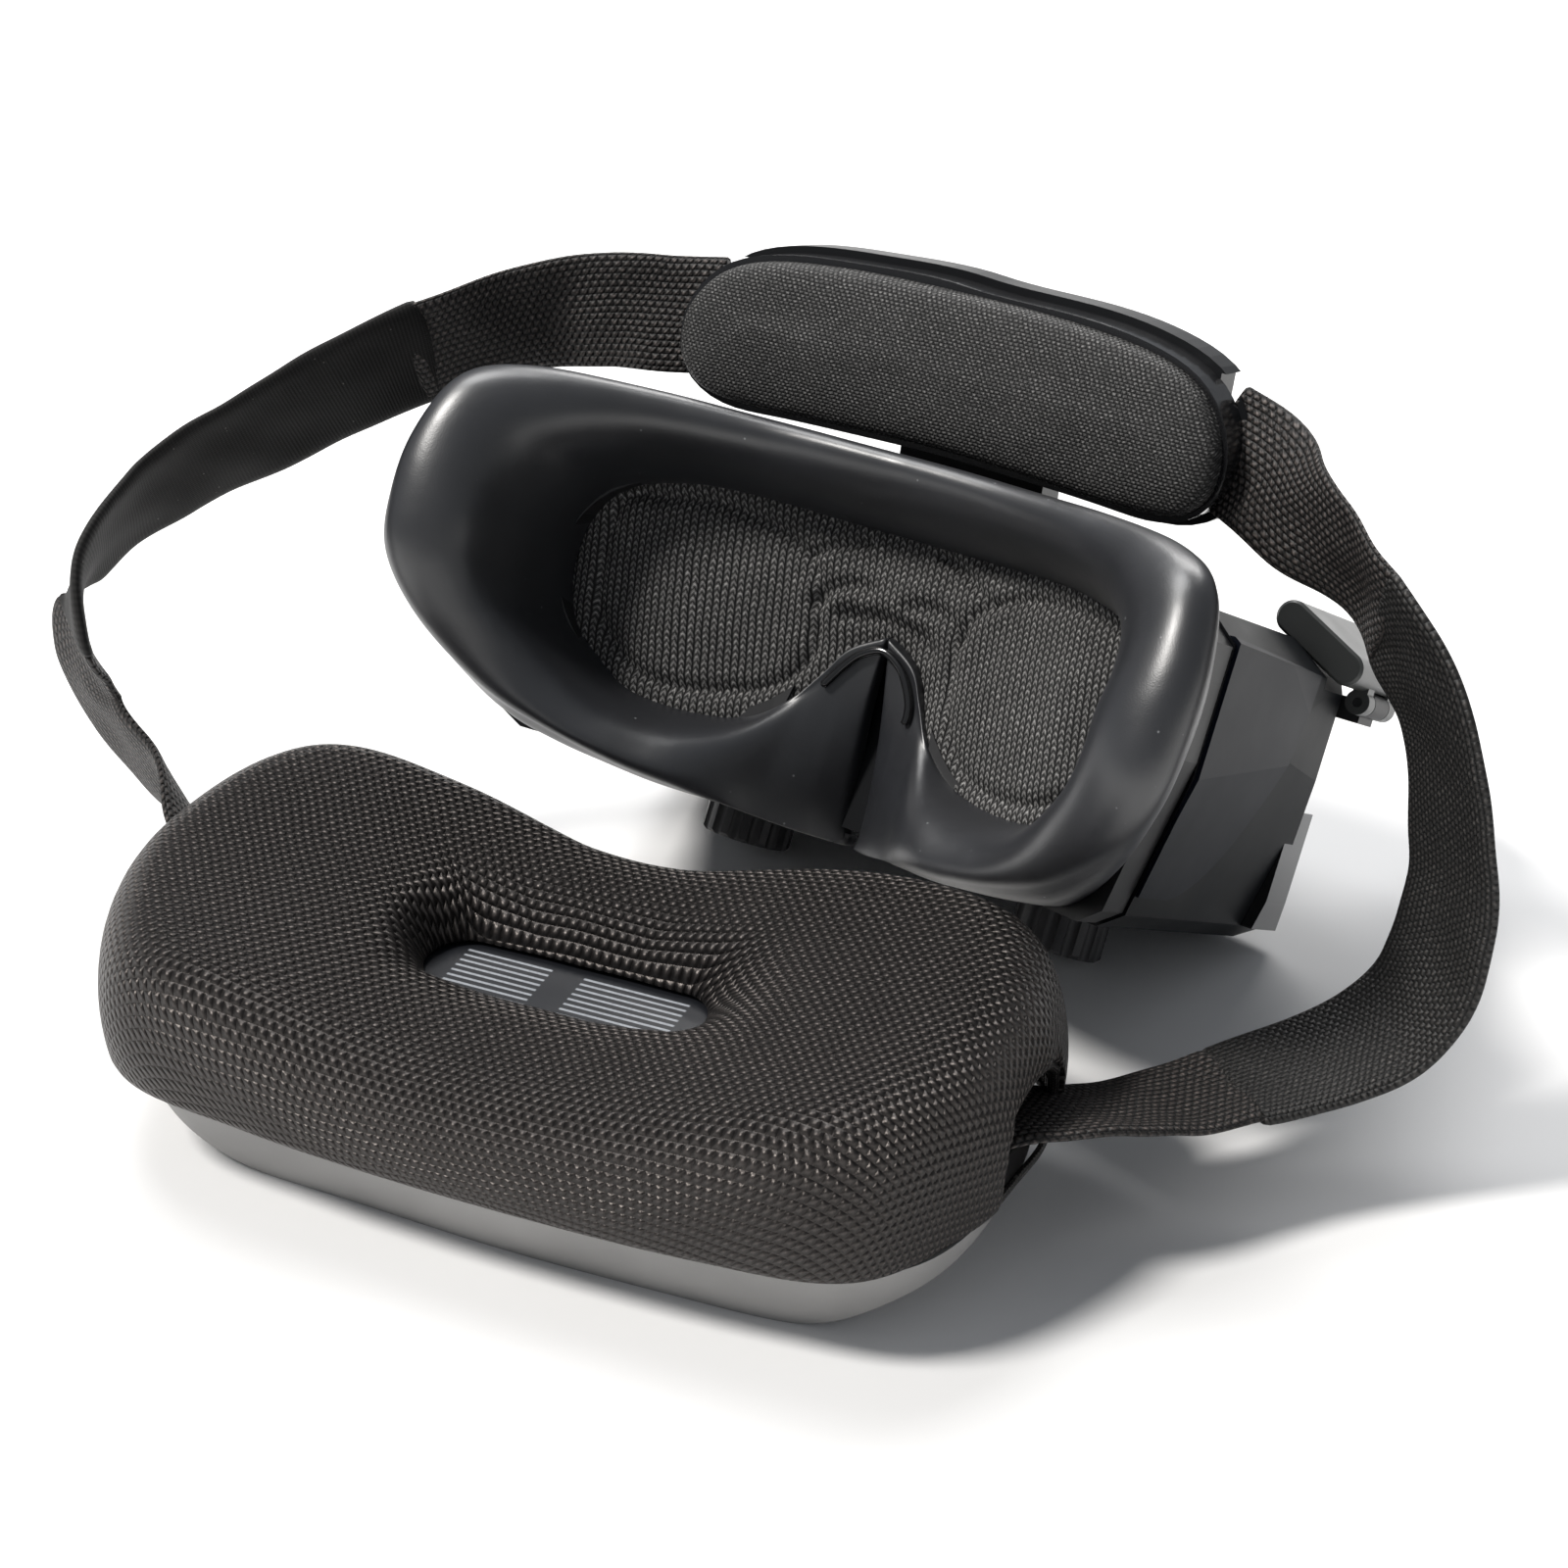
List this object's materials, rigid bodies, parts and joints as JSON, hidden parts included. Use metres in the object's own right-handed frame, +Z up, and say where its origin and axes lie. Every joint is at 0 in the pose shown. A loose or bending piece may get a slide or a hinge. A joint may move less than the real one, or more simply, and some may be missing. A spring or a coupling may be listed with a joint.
{
  "type": "fpv goggles",
  "caption": "Headset goggles for first-person drone flying, with a soft face mask, sliding eyepieces, folding antennas, a forehead support and a padded battery pack on the head straps.",
  "frame": {"origin": "on the table, under the middle of the whole object's box", "axes": "+X to the wearer's right, along the battery pack; +Y from the pack towards the goggles; +Z up. The goggles lie nose down in it by 31.3 degrees."},
  "size_m": [0.2923, 0.2313, 0.1369],
  "materials": {
    "shell": "satin moulded plastic, very fine texture",
    "front_shell": "satin moulded plastic, grey-green",
    "side_panel": "smooth satin plastic",
    "visor": "glossy black",
    "window": "tinted clear",
    "steel": "machined steel",
    "aluminium": "extruded, anodised",
    "board": "circuit board with solder mask",
    "inner_plastic": "moulded plastic, unseen inside",
    "button": "moulded plastic cap",
    "port": "drawn steel socket",
    "lens": "clear coated lens",
    "display": "dark display glass",
    "knob": "ribbed matte plastic",
    "mask": "soft satin elastomer",
    "knit": "grey-black knit over thin foam",
    "antenna": "satin plastic",
    "copper": "copper foil",
    "pad": "fine pebbly knit over foam",
    "rim": "glossy black rim",
    "plate": "satin plastic",
    "strap": "woven elastic webbing",
    "pack_fabric": "coarse spacer mesh over foam",
    "pack_shell": "mid-grey matte plastic",
    "label": "blank dark plate",
    "cell": "sleeved steel can"
  },
  "bodies": {
    "goggles": {"rear_shell": "shell", "front_shell": "front_shell", "housing_screws": "steel", "front_visor": "visor", "camera_barrel_right": "inner_plastic", "camera_barrel_left": "inner_plastic", "camera_windows": "window", "side_panel_right": "side_panel", "side_panel_left": "side_panel", "main_board": "board", "heat_sink": "aluminium", "fan_frame": "inner_plastic", "button_boards": "board", "usb_socket": "port", "audio_jack": "port", "port_block": "inner_plastic", "flap_hinge": "steel", "guide_rods": "steel", "rod_holders": "inner_plastic", "antenna_hinge_right": "inner_plastic", "antenna_hinge_left": "inner_plastic", "tilt_lugs": "shell", "tilt_pin": "steel"},
    "headrest": {"forehead_pad": "pad", "forehead_rim": "rim", "forehead_plate": "plate", "tilt_arm": "plate"},
    "pack": {"pack_shell": "pack_shell", "pack_lid": "inner_plastic", "rating_plate": "label", "pack_cushion": "pack_fabric", "battery_cells": "cell", "battery_board": "board", "strap_left": "strap", "strap_right": "strap"},
    "power_button": {"power_button": "button"},
    "antenna_right": {"antenna_right": "antenna", "antenna_element_right": "copper"},
    "antenna_left": {"antenna_left": "antenna", "antenna_element_left": "copper"},
    "eye_right": {"carriage_right": "inner_plastic", "display_right": "display"},
    "eye_left": {"carriage_left": "inner_plastic", "display_left": "display"},
    "barrel_right": {"barrel_right": "inner_plastic", "lenses_right": "lens"},
    "barrel_left": {"barrel_left": "inner_plastic", "lenses_left": "lens"},
    "knob_right": {"focus_knob_right": "knob"},
    "knob_left": {"focus_knob_left": "knob"},
    "mask": {"face_mask": "mask", "mask_frame": "inner_plastic"},
    "cover": {"lens_cover": "knit"},
    "stick_ring": {"stick_ring": "inner_plastic"},
    "stick": {"stick": "button"},
    "back_button": {"back_button": "button"},
    "record_button": {"record_button": "button"},
    "link_button": {"link_button": "button"},
    "port_flap": {"port_flap": "shell"},
    "fan_rotor": {"fan_rotor": "inner_plastic"}
  },
  "joints": [
    {"name": "headrest_tilt", "type": "hinge", "parent": "goggles", "child": "headrest", "pos_m": [0.0079, 0.0641, 0.08725], "axis": [-1, 0, 0], "range_deg": [0, 35], "deforming": ["strap_left", "strap_right"]},
    {"name": "strap_stretch", "type": "slide", "parent": "goggles", "child": "pack", "axis": [0, -1, 0], "range_m": [0, 0.03], "deforming": ["strap_left", "strap_right"]},
    {"name": "power_press", "type": "slide", "parent": "pack", "child": "power_button", "axis": [0, 0, 1], "range_m": [0, 0.0005], "stiffness_N_per_m": 400, "springref_m": -0.0005},
    {"name": "antenna_right_fold", "type": "hinge", "parent": "goggles", "child": "antenna_right", "pos_m": [0.0903, 0.0887, 0.05263], "axis": [0, 0.8545, -0.5195], "range_deg": [0, 110]},
    {"name": "antenna_left_fold", "type": "hinge", "parent": "goggles", "child": "antenna_left", "pos_m": [-0.0745, 0.0887, 0.05263], "axis": [0, -0.8545, 0.5195], "range_deg": [0, 110]},
    {"name": "eye_right_shift", "type": "slide", "parent": "goggles", "child": "eye_right", "axis": [1, 0, 0], "range_m": [-0.004, 0.004]},
    {"name": "eye_left_shift", "type": "slide", "parent": "goggles", "child": "eye_left", "axis": [1, 0, 0], "range_m": [-0.004, 0.004]},
    {"name": "focus_right_turn", "type": "hinge", "parent": "eye_right", "child": "knob_right", "pos_m": [0.0469, 0.0393, 0.00987], "axis": [0, 0.5195, 0.8545], "range_deg": [-120, 120]},
    {"name": "focus_left_turn", "type": "hinge", "parent": "eye_left", "child": "knob_left", "pos_m": [-0.0311, 0.0393, 0.00987], "axis": [0, 0.5195, 0.8545], "range_deg": [-120, 120]},
    {"name": "barrel_right_focus", "type": "slide", "parent": "eye_right", "child": "barrel_right", "axis": [0, 0.8545, -0.5195], "range_m": [-0.00198, 0.00198]},
    {"name": "barrel_left_focus", "type": "slide", "parent": "eye_left", "child": "barrel_left", "axis": [0, 0.8545, -0.5195], "range_m": [-0.00198, 0.00198]},
    {"name": "mask_pull", "type": "slide", "parent": "goggles", "child": "mask", "axis": [0, -0.8545, 0.5195], "range_m": [0, 0.003]},
    {"name": "cover_pull", "type": "slide", "parent": "goggles", "child": "cover", "axis": [0, -0.8545, 0.5195], "range_m": [0, 0.08]},
    {"name": "stick_side", "type": "hinge", "parent": "goggles", "child": "stick_ring", "pos_m": [0.0519, 0.0733, 0.06773], "axis": [0, 0.8545, -0.5195], "range_deg": [-6, 6], "stiffness_Nm_per_rad": 0.05},
    {"name": "stick_fore", "type": "hinge", "parent": "stick_ring", "child": "stick", "pos_m": [0.0519, 0.0733, 0.06773], "axis": [1, 0, 0], "range_deg": [-6, 6], "stiffness_Nm_per_rad": 0.05},
    {"name": "back_press", "type": "slide", "parent": "goggles", "child": "back_button", "axis": [0, -0.5195, -0.8545], "range_m": [0, 0.0005], "stiffness_N_per_m": 400, "springref_m": -0.0005},
    {"name": "record_press", "type": "slide", "parent": "goggles", "child": "record_button", "axis": [0, -0.5195, -0.8545], "range_m": [0, 0.0005], "stiffness_N_per_m": 400, "springref_m": -0.0005},
    {"name": "link_press", "type": "slide", "parent": "goggles", "child": "link_button", "axis": [0, -0.5195, -0.8545], "range_m": [0, 0.0005], "stiffness_N_per_m": 400, "springref_m": -0.0005},
    {"name": "flap_open", "type": "hinge", "parent": "goggles", "child": "port_flap", "pos_m": [-0.06764, 0.04908, 0.02788], "axis": [0, -0.8545, 0.5195], "range_deg": [0, 100]},
    {"name": "fan_spin", "type": "hinge", "parent": "goggles", "child": "fan_rotor", "pos_m": [0.0079, 0.07475, 0.03162], "axis": [0, 0.8545, -0.5195], "continuous": true}
  ],
  "couplings": [
    {"joint": "focus_right_turn", "follows": "barrel_right_focus", "rad_per_m": 1055},
    {"joint": "focus_left_turn", "follows": "barrel_left_focus", "rad_per_m": 1055}
  ]
}
